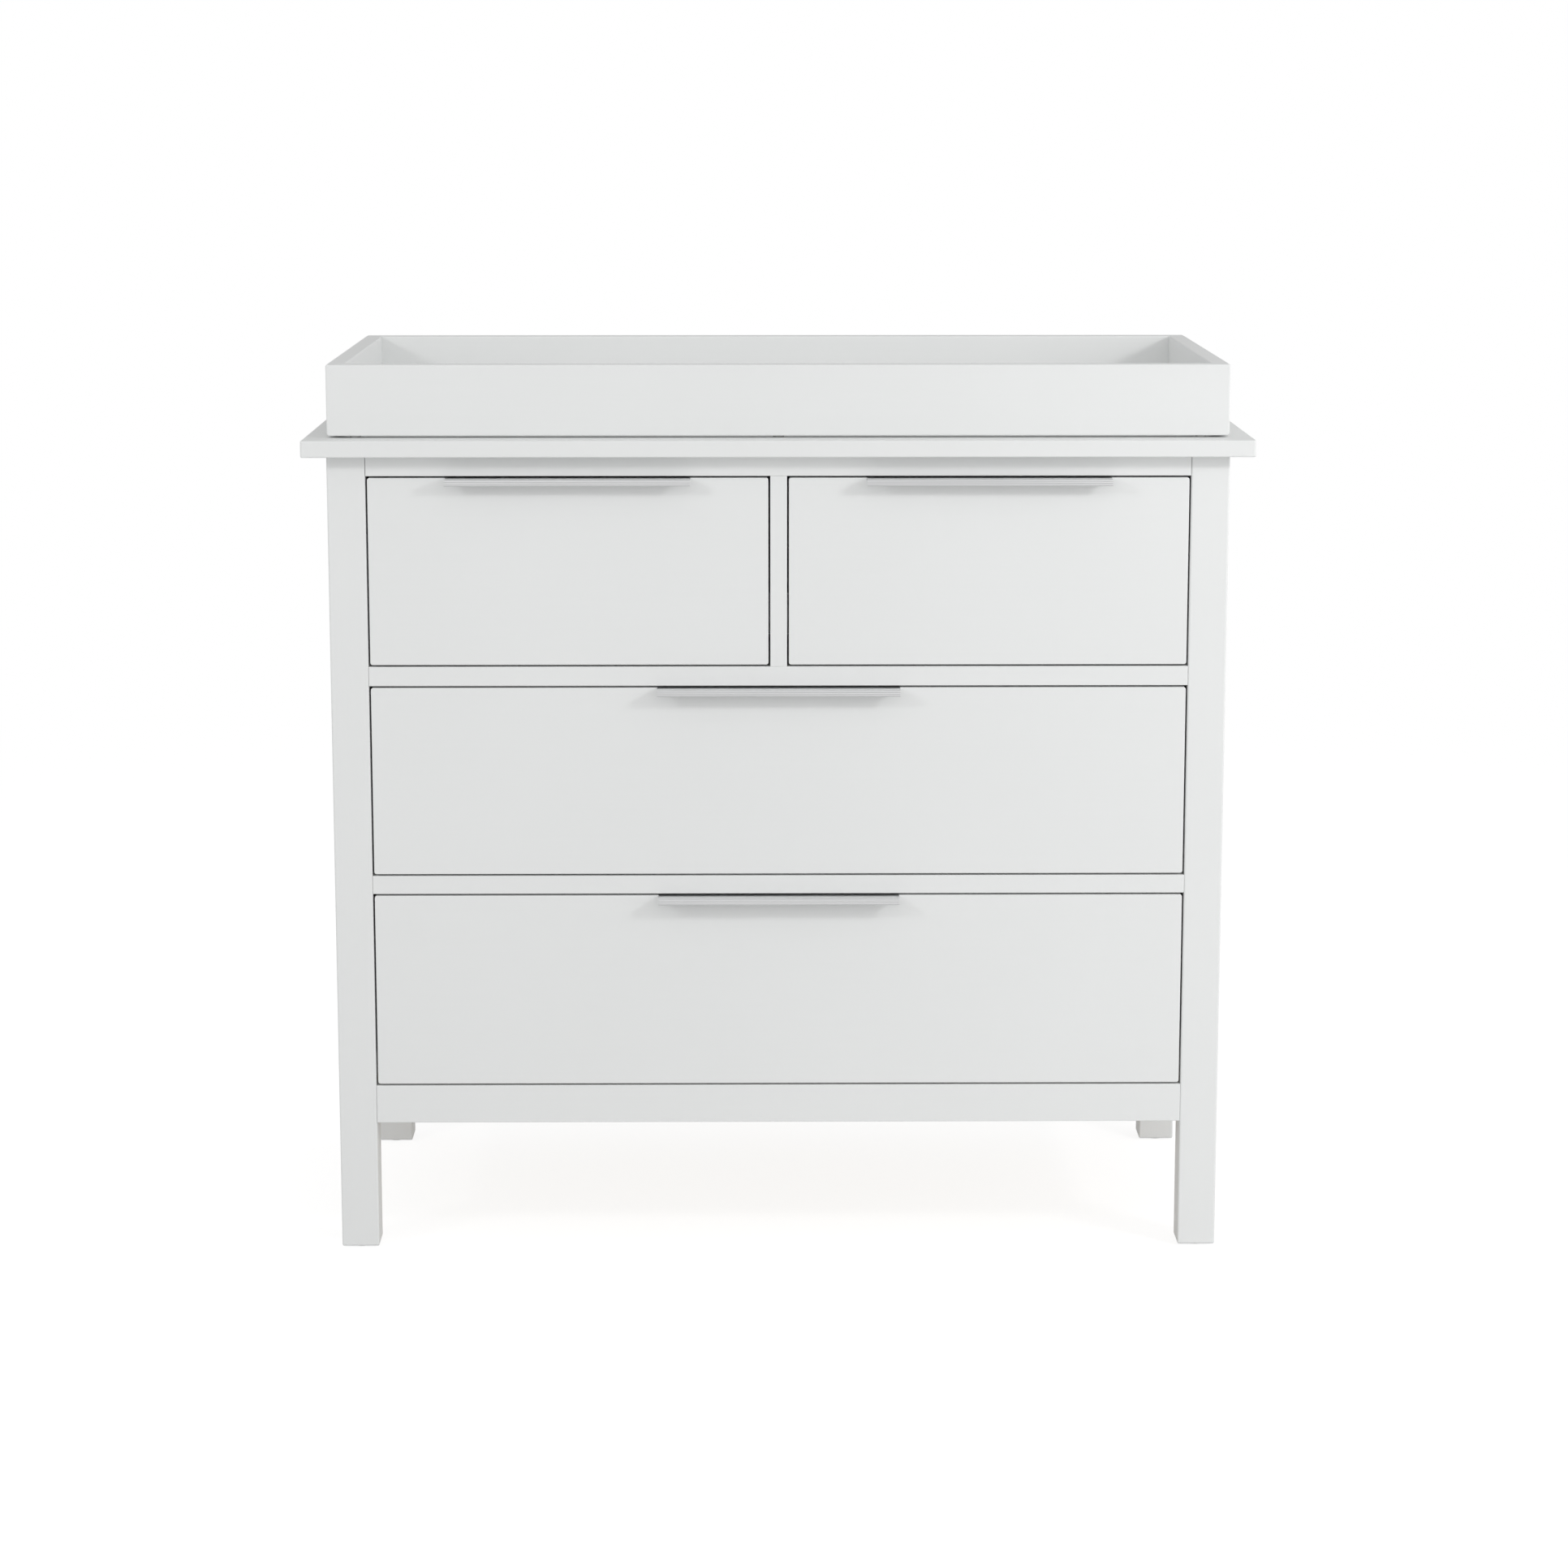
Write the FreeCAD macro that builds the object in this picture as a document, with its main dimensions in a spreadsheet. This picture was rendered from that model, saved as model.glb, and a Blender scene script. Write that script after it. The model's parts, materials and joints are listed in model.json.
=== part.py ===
import FreeCAD, Part

import math
import os
import re

import Sketcher

# Millimetres throughout. X runs across the front, Y from the front to the back and Z up.
# The origin is on the floor, below the middle of the top panel.
SIZES = {
    "top_width": 1016,
    "top_depth": 510,
    "top_thick": 18,
    "side_overhang": 25,
    "front_overhang": 24,
    "back_overhang": 8,
    "leg_face": 41,
    "glide_tall": 2,
    "glide_radius": 14,
    "leg_clear": 143,
    "gap": 2,
    "apron_tall": 42,
    "lower_front_tall": 211,
    "divider_tall": 20,
    "divider_depth": 60,
    "middle_front_tall": 205,
    "shelf_tall": 21,
    "upper_front_tall": 202,
    "top_rail_tall": 22,
    "rail_thick": 22,
    "stile_wide": 18,
    "side_thick": 15,
    "side_recess": 8,
    "rear_rail_thick": 18,
    "rear_rail_tall": 50,
    "back_thick": 5,
    "back_lap": 20,
    "block_leg": 50,
    "block_tall": 40,
    "batten_tall": 60,
    "front_thick": 18,
    "box_thick": 12,
    "box_tall": 150,
    "box_depth": 430,
    "box_raise": 12,
    "bottom_raise": 12,
    "bottom_thick": 5,
    "groove_deep": 5,
    "slide_room": 12.7,
    "slide_length": 400,
    "slide_raise": 52,
    "slide_steel": 1.2,
    "outer_half": 22.5,
    "outer_reach": 11.2,
    "middle_half": 19.4,
    "middle_web": 2.2,
    "middle_reach": 8.6,
    "inner_half": 15.7,
    "inner_reach": 8.2,
    "pull_long": 262,
    "pull_out": 20,
    "pull_steel": 2,
    "pull_lip_tall": 7,
    "pull_leg_tall": 22,
    "tray_depth": 470,
    "tray_setback": 34,
    "tray_thick": 19,
    "tray_tall": 76,
    "tray_lift_off": 2,
    "pad_clear": 0.3,
    "pad_radius": 6,
    "pad_inset": 30,
    "bracket_long": 30,
    "bracket_leg": 24,
    "bracket_inset": 90,
    "plate_steel": 2,
    "anchor_wide": 60,
    "anchor_tall": 24,
    "anchor_inset": 300,
    "anchor_hole": 2.75,
    "anchor_deep": 14,
    "screw_head_radius": 4,
    "screw_head_tall": 1.8,
    "screw_radius": 1.75,
    "screw_bite": 12,
    "back_screw_row": 110,
    "back_screw_column": 252,
    "ease": 1.5,
    "fine_ease": 0.8,
    "corner_round": 2.5,
}

doc = FreeCAD.newDocument("ChangingTable")
sheet = doc.addObject("Spreadsheet::Sheet", "Sizes")
for row, (alias, value) in enumerate(SIZES.items(), start=1):
    sheet.set(f"A{row}", alias)
    sheet.set(f"B{row}", str(value))
    sheet.setAlias(f"B{row}", alias)
doc.recompute()

# Planes and levels, as sums of the sheet's sizes.
HALF_WIDTH = "(top_width / 2 - side_overhang)"
HALF_INSIDE = f"({HALF_WIDTH} - leg_face)"
FRONT = "(front_overhang - top_depth / 2)"
BACK = "(top_depth / 2 - back_overhang)"
APRON_TOP = "(leg_clear + apron_tall)"
LOWER_LOW = f"({APRON_TOP} + gap)"
LOWER_TOP = f"({LOWER_LOW} + lower_front_tall)"
DIVIDER_LOW = f"({LOWER_TOP} + gap)"
DIVIDER_TOP = f"({DIVIDER_LOW} + divider_tall)"
MIDDLE_LOW = f"({DIVIDER_TOP} + gap)"
MIDDLE_TOP = f"({MIDDLE_LOW} + middle_front_tall)"
SHELF_LOW = f"({MIDDLE_TOP} + gap)"
SHELF_TOP = f"({SHELF_LOW} + shelf_tall)"
UPPER_LOW = f"({SHELF_TOP} + gap)"
UPPER_TOP = f"({UPPER_LOW} + upper_front_tall)"
RAIL_LOW = f"({UPPER_TOP} + gap)"
PANEL_LOW = f"({RAIL_LOW} + top_rail_tall)"
PANEL_TOP = f"({PANEL_LOW} + top_thick)"
REAR_RAIL = f"({BACK} - rear_rail_thick)"
INSIDE_WIDE = f"(2 * {HALF_INSIDE})"
SLIDE_FRONT = f"({FRONT} + front_thick + 8)"

# The plane each outline is drawn on, and whether its pad has to be reversed to grow
# along the positive axis.
PLANES = {"X": ("YZ_Plane", False), "Y": ("XZ_Plane", True), "Z": ("XY_Plane", False)}


def bind(target, field, text):
    """Bind a property to an expression whose bare words are cells of the sheet."""
    target.setExpression(field, re.sub(r"[a-z][a-z_]+", lambda word: "Sizes." + word.group(), text))


def new_body(label, place=("0", "0", "0")):
    body = doc.addObject("PartDesign::Body", label)
    body.Label = label
    for axis, text in zip("xyz", place):
        bind(body, f"Placement.Base.{axis}", text)
    return body


def new_sketch(body, axis, start="0"):
    sketch = body.newObject("Sketcher::SketchObject", body.Label + "_outline")
    role = PLANES[axis][0]
    plane = next(item for item in body.Origin.OriginFeatures if item.Role == role)
    sketch.AttachmentSupport = [(plane, "")]
    sketch.MapMode = "FlatFace"
    along = start if axis != "Y" else f"-({start})"
    bind(sketch, "AttachmentOffset.Base.z", along)
    return sketch


def add_loop(sketch, points):
    """Draw one closed outline through points given as pairs of expressions."""
    count = len(points)
    first = sketch.GeometryCount
    circle = [
        FreeCAD.Vector(math.cos(math.tau * step / count), math.sin(math.tau * step / count), 0)
        for step in range(count)
    ]
    for step in range(count):
        sketch.addGeometry(Part.LineSegment(circle[step], circle[(step + 1) % count]), False)
    for step in range(count):
        following = first + (step + 1) % count
        sketch.addConstraint(Sketcher.Constraint("Coincident", first + step, 2, following, 1))
    for step, (across, up) in enumerate(points):
        for axis, text, value in (("X", across, circle[step].x), ("Y", up, circle[step].y)):
            kind = "Distance" + axis
            number = sketch.addConstraint(Sketcher.Constraint(kind, -1, 1, first + step, 1, value))
            bind(sketch, f"Constraints[{number}]", text)


def add_circle(sketch, across, up, radius):
    number = sketch.addGeometry(Part.Circle(FreeCAD.Vector(1, 1, 0), FreeCAD.Vector(0, 0, 1), 1), False)
    for kind, text in (("DistanceX", across), ("DistanceY", up)):
        place = sketch.addConstraint(Sketcher.Constraint(kind, -1, 1, number, 3, 1))
        bind(sketch, f"Constraints[{place}]", text)
    size = sketch.addConstraint(Sketcher.Constraint("Radius", number, 1))
    bind(sketch, f"Constraints[{size}]", radius)


def add_pad(body, sketch, axis, length):
    pad = body.newObject("PartDesign::Pad", body.Label + "_pad")
    pad.Profile = sketch
    pad.Reversed = PLANES[axis][1]
    bind(pad, "Length", length)
    return pad


def prism(label, axis, loops, length, place=("0", "0", "0")):
    """Pad one or more outlines along an axis."""
    body = new_body(label, place)
    sketch = new_sketch(body, axis)
    for loop in loops:
        add_loop(sketch, loop)
    add_pad(body, sketch, axis, length)
    return body


def rectangle(low, high):
    return [(low[0], low[1]), (high[0], low[1]), (high[0], high[1]), (low[0], high[1])]


def board(label, size, place):
    """A plain board, drawn on the floor plane from its own lower front left corner."""
    return prism(label, "Z", [rectangle(("0", "0"), (size[0], size[1]))], size[2], place)


def ease_edges(body, radius, wanted):
    """Round the edges of the body's last feature for which wanted(edge) holds."""
    doc.recompute()
    base = body.Tip
    names = [f"Edge{n}" for n, edge in enumerate(base.Shape.Edges, start=1) if wanted(edge)]
    fillet = body.newObject("PartDesign::Fillet", body.Label + "_ease")
    fillet.Base = (base, names)
    bind(fillet, "Radius", radius)
    return fillet


def lies_at(edge, axis, value):
    """Whether both ends and the middle of an edge have this coordinate."""
    points = [vertex.Point for vertex in edge.Vertexes]
    points.append(edge.valueAt((edge.FirstParameter + edge.LastParameter) / 2))
    return all(abs(getattr(point, axis) - value) < 0.01 for point in points)


def runs_along(edge, axis):
    return abs(getattr(edge.tangentAt(edge.FirstParameter), axis)) > 0.99


def front_edge(edge):
    return lies_at(edge, "y", 0)


def any_edge(edge):
    return edge.Length > 0


def drill(body, axis, start, length, holes, towards_positive):
    """Cut round holes and check that they took material away."""
    doc.recompute()
    before = body.Shape.Volume
    sketch = new_sketch(body, axis, start)
    for across, up, radius in holes:
        add_circle(sketch, across, up, radius)
    pocket = body.newObject("PartDesign::Pocket", body.Label + "_holes")
    pocket.Profile = sketch
    pocket.Reversed = towards_positive != PLANES[axis][1]
    bind(pocket, "Length", length)
    doc.recompute()
    assert body.Shape.Volume < before - 1, body.Label


def add_screws(body, axis, spots, head_start, shank_start, shank_long):
    """Pan-head screws along an axis, from where their heads and their shanks start."""
    for start, radius, length in (
        (head_start, "screw_head_radius", "screw_head_tall"),
        (shank_start, "screw_radius", shank_long),
    ):
        sketch = new_sketch(body, axis, start)
        for across, up in spots:
            add_circle(sketch, across, up, radius)
        add_pad(body, sketch, axis, length)


def channel(web, sign, middle, half, reach):
    """A slide member's section: its web stands at web and both flanges point the sign's way."""
    outer = f"({web} {sign} {reach})"
    wall = f"({web} {sign} slide_steel)"
    low = f"({middle} - {half})"
    high = f"({middle} + {half})"
    return [
        (web, low),
        (outer, low),
        (outer, f"{low} + slide_steel"),
        (wall, f"{low} + slide_steel"),
        (wall, f"{high} - slide_steel"),
        (outer, f"{high} - slide_steel"),
        (outer, high),
        (web, high),
    ]


def top_panel():
    size = ("top_width", "top_depth", "top_thick")
    body = board("top_panel", size, ("-top_width / 2", "-top_depth / 2", PANEL_LOW))
    ease_edges(body, "ease", any_edge)


def legs():
    left = f"-{HALF_WIDTH}"
    right = HALF_INSIDE
    rear = f"{BACK} - leg_face"
    corners = {
        "front_left_leg": (left, FRONT),
        "front_right_leg": (right, FRONT),
        "rear_left_leg": (left, rear),
        "rear_right_leg": (right, rear),
    }
    for label, (across, deep) in corners.items():
        size = ("leg_face", "leg_face", f"{PANEL_LOW} - glide_tall")
        body = board(label, size, (across, deep, "glide_tall"))
        height = body.Shape.BoundBox.ZMax
        ease_edges(body, "ease", lambda edge: not lies_at(edge, "z", height))


def foot_glides():
    body = new_body("foot_glides")
    sketch = new_sketch(body, "Z")
    for across in (f"({HALF_WIDTH} - leg_face / 2)", f"-({HALF_WIDTH} - leg_face / 2)"):
        for deep in (f"({FRONT} + leg_face / 2)", f"({BACK} - leg_face / 2)"):
            add_circle(sketch, across, deep, "glide_radius")
    add_pad(body, sketch, "Z", "glide_tall")


def rails():
    """The front rails between the legs, and the two rails across the back."""
    front = {
        "front_top_rail": (RAIL_LOW, "top_rail_tall", "rail_thick"),
        "lower_divider_rail": (DIVIDER_LOW, "divider_tall", "divider_depth"),
        "front_bottom_rail": ("leg_clear", "apron_tall", "rail_thick"),
    }
    for label, (low, tall, deep) in front.items():
        body = board(label, (INSIDE_WIDE, deep, tall), (f"-{HALF_INSIDE}", FRONT, low))
        ease_edges(body, "fine_ease", front_edge)
    rear = {"rear_top_rail": f"{PANEL_LOW} - rear_rail_tall", "rear_bottom_rail": "leg_clear"}
    for label, low in rear.items():
        size = (INSIDE_WIDE, "rear_rail_thick", "rear_rail_tall")
        body = board(label, size, (f"-{HALF_INSIDE}", REAR_RAIL, low))
        if label == "rear_top_rail":
            # Blind holes for the inserts behind the wall anchors.
            holes = [
                (f"{HALF_INSIDE} {sign} anchor_inset", "rear_rail_tall - anchor_tall / 2", "anchor_hole")
                for sign in "-+"
            ]
            drill(body, "Y", "rear_rail_thick", "anchor_deep", holes, False)


def shelf():
    """Full-depth board that carries the upper drawers; its front edge shows as a rail."""
    size = (INSIDE_WIDE, f"{BACK} - {FRONT}", "shelf_tall")
    body = board("upper_shelf", size, (f"-{HALF_INSIDE}", FRONT, SHELF_LOW))
    ease_edges(body, "fine_ease", front_edge)


def partition():
    """Upright board between the upper drawers, notched behind the top rail."""
    deep = f"({REAR_RAIL} - {FRONT})"
    step = f"({RAIL_LOW} - {SHELF_TOP})"
    outline = [
        ("0", "0"),
        (deep, "0"),
        (deep, f"{PANEL_LOW} - {SHELF_TOP}"),
        ("rail_thick", f"{PANEL_LOW} - {SHELF_TOP}"),
        ("rail_thick", step),
        ("0", step),
    ]
    place = ("-stile_wide / 2", FRONT, SHELF_TOP)
    body = prism("centre_partition", "X", [outline], "stile_wide", place)
    ease_edges(body, "fine_ease", front_edge)


def side_panels():
    deep = f"({BACK} - {FRONT} - 2 * leg_face)"
    size = ("side_thick", deep, f"{PANEL_LOW} - leg_clear")
    left = f"-({HALF_WIDTH} - side_recess)"
    right = f"{HALF_WIDTH} - side_recess - side_thick"
    for label, across in (("left_side_panel", left), ("right_side_panel", right)):
        board(label, size, (across, f"{FRONT} + leg_face", "leg_clear"))


def back_panel():
    """Thin board on the back of the rear rails and legs, short of the wall anchors."""
    size = (
        f"{INSIDE_WIDE} + 2 * back_lap",
        "back_thick",
        f"{PANEL_LOW} - anchor_tall - 4 - leg_clear - back_lap",
    )
    board("back_panel", size, (f"-{HALF_INSIDE} - back_lap", BACK, "leg_clear + back_lap"))


def back_panel_screws():
    """Screws round the back panel's edge, into the rear legs and the rear rails."""
    low = "(leg_clear + back_lap + screw_bite)"
    high = f"({PANEL_LOW} - anchor_tall - 4 - screw_bite)"
    side = f"({HALF_INSIDE} + back_lap / 2)"
    spots = []
    for sign in ("", "-"):
        for step in (-1, 0, 1):
            middle = f"({low} + {high}) / 2 + ({step}) * back_screw_column"
            spots.append((f"{sign}{side}", middle))
        for column in (1, 3):
            for level in (low, high):
                spots.append((f"{sign}{column} * back_screw_row", level))
    body = new_body("back_panel_screws", ("0", BACK, "0"))
    add_screws(body, "Y", spots, "back_thick", "-screw_bite", "back_thick + screw_bite")


def corner_blocks():
    """Triangular blocks in the corners under the top panel and behind the bottom rails."""
    body = new_body("corner_blocks")
    corners = []
    for sign, side in ((1, "-"), (-1, "+")):
        across = f"({sign} * {HALF_INSIDE})"
        reach = f"({across} {side} block_leg)"
        corners.append((across, reach, f"({FRONT} + rail_thick)", "+"))
        corners.append((across, reach, REAR_RAIL, "-"))
    for start, length in ((f"{PANEL_LOW} - top_rail_tall", "top_rail_tall"), ("leg_clear", "block_tall")):
        sketch = new_sketch(body, "Z", start)
        for across, reach, deep, way in corners:
            add_loop(sketch, [(across, deep), (reach, deep), (across, f"{deep} {way} block_leg")])
        add_pad(body, sketch, "Z", length)


def slide_battens():
    """Battens between the legs that bring the drawer slides flush with the legs."""
    inner = HALF_INSIDE
    outer = f"({HALF_WIDTH} - side_recess - side_thick)"
    loops = []
    for low in (UPPER_LOW, MIDDLE_LOW, LOWER_LOW):
        middle = f"({low} + slide_raise)"
        for sign in ("", "-"):
            foot = f"{middle} - batten_tall / 2"
            head = f"{middle} + batten_tall / 2"
            loops.append(rectangle((f"{sign}{inner}", foot), (f"{sign}{outer}", head)))
    deep = f"{BACK} - {FRONT} - 2 * leg_face"
    prism("slide_battens", "Y", loops, deep, ("0", f"{FRONT} + leg_face", "0"))


def wall_anchors():
    """Steel plates on the top rear rail, each with a hole for a wall strap's screw."""
    loops = []
    for sign in "-+":
        low = f"({sign}1 * anchor_inset - anchor_wide / 2)"
        loops.append(rectangle((low, "0"), (f"{low} + anchor_wide", "anchor_tall")))
    place = ("0", BACK, f"{PANEL_LOW} - anchor_tall")
    body = prism("wall_anchors", "Y", loops, "plate_steel", place)
    holes = [(f"{sign}1 * anchor_inset", "anchor_tall / 2", "anchor_hole") for sign in "-+"]
    drill(body, "Y", "0", "plate_steel", holes, True)


# Each drawer: the planes at its left and right, the level of its front and the front's height.
DRAWERS = {
    "upper_left_drawer": (f"-{HALF_INSIDE}", "-stile_wide / 2", UPPER_LOW, "upper_front_tall"),
    "upper_right_drawer": ("stile_wide / 2", HALF_INSIDE, UPPER_LOW, "upper_front_tall"),
    "middle_drawer": (f"-{HALF_INSIDE}", HALF_INSIDE, MIDDLE_LOW, "middle_front_tall"),
    "lower_drawer": (f"-{HALF_INSIDE}", HALF_INSIDE, LOWER_LOW, "lower_front_tall"),
}


def cabinet_slides():
    loops = []
    for left, right, low, _ in DRAWERS.values():
        middle = f"({low} + slide_raise)"
        loops.append(channel(f"({left})", "+", middle, "outer_half", "outer_reach"))
        loops.append(channel(f"({right})", "-", middle, "outer_half", "outer_reach"))
    prism("cabinet_slides", "Y", loops, "slide_length", ("0", SLIDE_FRONT, "0"))


def drawer_front(name, wide, low, tall, left):
    """A board with a shallow rebate in its top edge, where the pull lies."""
    pull_left = f"({wide} / 2 - pull_long / 2)"
    pull_right = f"({wide} / 2 + pull_long / 2)"
    outline = [
        ("gap", "0"),
        (f"{wide} - gap", "0"),
        (f"{wide} - gap", tall),
        (pull_right, tall),
        (pull_right, f"{tall} - pull_steel"),
        (pull_left, f"{tall} - pull_steel"),
        (pull_left, tall),
        ("gap", tall),
    ]
    body = prism(f"{name}_front", "Y", [outline], "front_thick", (left, FRONT, low))
    doc.recompute()
    box = body.Tip.Shape.BoundBox
    corners = [(x, z) for x in (box.XMin, box.XMax) for z in (box.ZMin, box.ZMax)]
    ease_edges(
        body,
        "corner_round",
        lambda edge: any(lies_at(edge, "x", x) and lies_at(edge, "z", z) for x, z in corners),
    )
    ease_edges(body, "fine_ease", front_edge)


def drawer_box(name, wide, low, left):
    """Sides grooved for the bottom, which runs under the back."""
    deep = f"({FRONT} + front_thick)"
    floor = f"({low} + box_raise)"
    box_wide = f"({wide} - 2 * slide_room)"
    groove = "(box_thick - groove_deep)"
    groove_top = "(bottom_raise + bottom_thick)"
    for side, across, sign in (("left", "slide_room", 1), ("right", f"{wide} - slide_room", -1)):
        outline = [
            ("0", "0"),
            (f"{sign} * box_thick", "0"),
            (f"{sign} * box_thick", "bottom_raise"),
            (f"{sign} * {groove}", "bottom_raise"),
            (f"{sign} * {groove}", groove_top),
            (f"{sign} * box_thick", groove_top),
            (f"{sign} * box_thick", "box_tall"),
            ("0", "box_tall"),
        ]
        place = (f"{left} + {across}", deep, floor)
        prism(f"{name}_{side}_side", "Y", [outline], "box_depth", place)
    inset = f"({left} + slide_room + box_thick)"
    inner = f"({box_wide} - 2 * box_thick)"
    board(
        f"{name}_back",
        (inner, "box_thick", f"box_tall - {groove_top}"),
        (inset, f"{deep} + box_depth - box_thick", f"{floor} + {groove_top}"),
    )
    board(
        f"{name}_bottom",
        (f"{inner} + 2 * groove_deep", "box_depth", "bottom_thick"),
        (f"{inset} - groove_deep", deep, f"{floor} + bottom_raise"),
    )


def drawer_pull(name, wide, low, tall, left):
    """A bent strip over the front's top edge: finger lip, flat plate and screwed back leg."""
    lip = "(-pull_out)"
    back = "front_thick"
    outline = [
        (lip, "-pull_lip_tall"),
        (f"{lip} + pull_steel", "-pull_lip_tall"),
        (f"{lip} + pull_steel", "-pull_steel"),
        (back, "-pull_steel"),
        (back, "-pull_leg_tall"),
        (f"{back} + pull_steel", "-pull_leg_tall"),
        (f"{back} + pull_steel", "0"),
        (lip, "0"),
    ]
    place = (f"{left} + {wide} / 2 - pull_long / 2", FRONT, f"{low} + {tall}")
    prism(f"{name}_pull", "X", [outline], "pull_long", place)


def drawer_slides(name, wide, low, left):
    """The members on the drawer's sides, and the ones that run between them and the cabinet."""
    middle = "slide_raise"
    members = {
        "slide_inners": ("slide_room", "-", "inner_half", "inner_reach"),
        "slide_middles": ("middle_web", "+", "middle_half", "middle_reach"),
    }
    opposite = {"+": "-", "-": "+"}
    for part, (web, sign, half, reach) in members.items():
        loops = [
            channel(web, sign, middle, half, reach),
            channel(f"({wide} - {web})", opposite[sign], middle, half, reach),
        ]
        prism(f"{name}_{part}", "Y", loops, "slide_length", (left, SLIDE_FRONT, low))


def drawers():
    for name, (left, right, low, tall) in DRAWERS.items():
        wide = f"({right} - ({left}))"
        drawer_front(name, wide, low, tall, left)
        drawer_box(name, wide, low, left)
        drawer_pull(name, wide, low, tall, left)
        drawer_slides(name, wide, low, left)


TRAY_FRONT = "(tray_setback - top_depth / 2)"
TRAY_FLOOR = f"({PANEL_TOP} + tray_lift_off)"


def tray_boards():
    """The changing tray: four boards, the front and the back running past the sides."""
    across = f"-{HALF_WIDTH}"
    long_size = (f"2 * {HALF_WIDTH}", "tray_thick", "tray_tall")
    short_size = ("tray_thick", "tray_depth - 2 * tray_thick", "tray_tall")
    behind = f"{TRAY_FRONT} + tray_thick"
    boards = {
        "tray_front": (long_size, across, TRAY_FRONT),
        "tray_back": (long_size, across, f"{TRAY_FRONT} + tray_depth - tray_thick"),
        "tray_left": (short_size, across, behind),
        "tray_right": (short_size, f"{HALF_WIDTH} - tray_thick", behind),
    }
    for label, (size, x_place, y_place) in boards.items():
        body = board(label, size, (x_place, y_place, TRAY_FLOOR))
        if size is long_size:
            ease_edges(body, "ease", any_edge)
        else:
            ease_edges(body, "ease", lambda edge: runs_along(edge, "y"))


def tray_pads():
    """Thin round pads under the tray's boards, a hair clear of the top panel."""
    body = new_body("tray_pads", ("0", "0", f"{PANEL_TOP} + pad_clear"))
    sketch = new_sketch(body, "Z")
    near = f"({TRAY_FRONT} + tray_thick / 2)"
    far = f"({TRAY_FRONT} + tray_depth - tray_thick / 2)"
    edge = f"({HALF_WIDTH} - pad_inset)"
    for across in (f"-{edge}", "0", edge):
        for deep in (near, far):
            add_circle(sketch, across, deep, "pad_radius")
    add_pad(body, sketch, "Z", "tray_lift_off - pad_clear")


def tray_brackets():
    """Angle brackets inside the tray's ends, which hold it to the top panel."""
    body = new_body("tray_brackets", ("0", "0", f"{PANEL_TOP} + pad_clear"))
    for start in (f"{TRAY_FRONT} + bracket_inset", f"{TRAY_FRONT} + tray_depth - bracket_inset - bracket_long"):
        sketch = new_sketch(body, "Y", start)
        for sign in ("", "-"):
            wall = f"({HALF_WIDTH} - tray_thick)"
            steel = f"({wall} - plate_steel)"
            reach = f"({wall} - bracket_leg)"
            points = [
                (reach, "0"),
                (wall, "0"),
                (wall, "bracket_leg"),
                (steel, "bracket_leg"),
                (steel, "plate_steel"),
                (reach, "plate_steel"),
            ]
            add_loop(sketch, [(f"{sign}{across}", up) for across, up in points])
        add_pad(body, sketch, "Y", "bracket_long")


def tray_screws():
    """One screw through each bracket into the tray's end board, and one through its foot."""
    body = new_body("tray_screws")
    near = f"({TRAY_FRONT} + bracket_inset + bracket_long / 2)"
    far = f"({TRAY_FRONT} + tray_depth - bracket_inset - bracket_long / 2)"
    foot = f"({PANEL_TOP} + pad_clear)"
    steel = f"({HALF_WIDTH} - tray_thick - plate_steel)"
    level = f"({foot} + bracket_leg / 2 + plate_steel)"
    across = f"({steel} - bracket_leg / 2)"
    ends = [(near, level), (far, level)]
    through = "plate_steel + screw_bite"
    add_screws(body, "X", ends, f"{steel} - screw_head_tall", steel, through)
    add_screws(body, "X", ends, f"-{steel}", f"-{steel} - plate_steel - screw_bite", through)
    feet = [(f"{sign}{across}", deep) for sign in ("", "-") for deep in (near, far)]
    add_screws(body, "Z", feet, f"{foot} + plate_steel", foot, "plate_steel")


for make in (
    top_panel,
    legs,
    foot_glides,
    rails,
    shelf,
    partition,
    side_panels,
    back_panel,
    back_panel_screws,
    corner_blocks,
    slide_battens,
    wall_anchors,
    cabinet_slides,
    drawers,
    tray_boards,
    tray_pads,
    tray_brackets,
    tray_screws,
):
    make()
doc.recompute()

for item in doc.Objects:
    assert not {"Invalid", "Error"} & set(item.State), (item.Label, item.State)

os.makedirs("parts", exist_ok=True)
bodies = [item for item in doc.Objects if item.TypeId == "PartDesign::Body"]
for body in bodies:
    shape = body.Shape
    assert not shape.isNull() and shape.isValid() and shape.Solids, body.Label
for body in bodies:
    body.Shape.exportStep(f"parts/{body.Label}.step")
    box = body.Shape.BoundBox
    print(
        f"{body.Label:32} {len(body.Shape.Solids)} solids "
        f"x {box.XMin:.1f} {box.XMax:.1f}  y {box.YMin:.1f} {box.YMax:.1f}  z {box.ZMin:.1f} {box.ZMax:.1f}"
    )
print(len(bodies), "parts")
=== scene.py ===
import json
import math

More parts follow.
